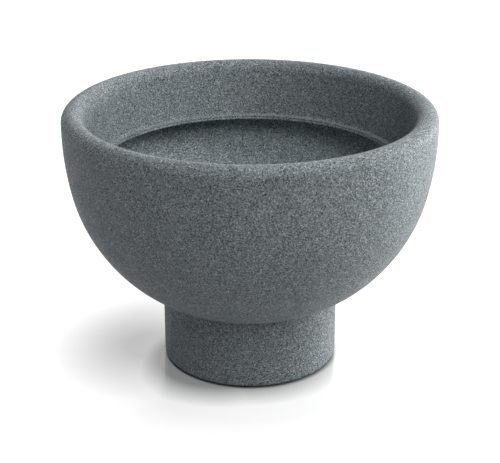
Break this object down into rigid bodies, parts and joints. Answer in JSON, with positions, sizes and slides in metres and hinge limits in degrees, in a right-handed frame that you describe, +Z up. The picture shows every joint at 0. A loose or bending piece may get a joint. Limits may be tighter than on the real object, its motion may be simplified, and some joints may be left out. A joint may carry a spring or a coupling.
{
  "type": "flower pot",
  "caption": "Round bowl flower pot on a drum foot, in speckled granite-grey moulded plastic, with a rolled rim, inner collar and a plugged floor drain.",
  "frame": {"origin": "on the floor under the middle of the bowl, at the foot of the rubber pads", "axes": "+Z up along the axis of the bowl and foot; X and Y level, each through one pair of the mounting bolts"},
  "size_m": [0.8, 0.8, 0.576],
  "materials": {
    "granite_plastic": "matte granite-effect polyethylene with dark and light flecks",
    "stainless_steel": "plain stainless fasteners",
    "black_rubber": "matte black rubber",
    "black_plastic": "satin black moulded plastic"
  },
  "bodies": {
    "planter": {"bowl_shell": "granite_plastic", "pedestal_foot": "granite_plastic", "mounting_bolts": "stainless_steel", "bolt_washers": "stainless_steel", "sealing_washers": "black_rubber", "lock_nuts": "stainless_steel", "drain_bush": "black_plastic", "drain_gasket": "black_rubber", "drain_locknut": "black_plastic", "rubber_foot_1": "black_rubber", "rubber_foot_2": "black_rubber", "rubber_foot_3": "black_rubber", "rubber_foot_4": "black_rubber"},
    "drain_plug": {"drain_plug": "black_rubber"}
  },
  "joints": [
    {"name": "plug_lift", "type": "slide", "parent": "planter", "child": "drain_plug", "axis": [0, 0, 1], "range_m": [0, 0.45]}
  ]
}
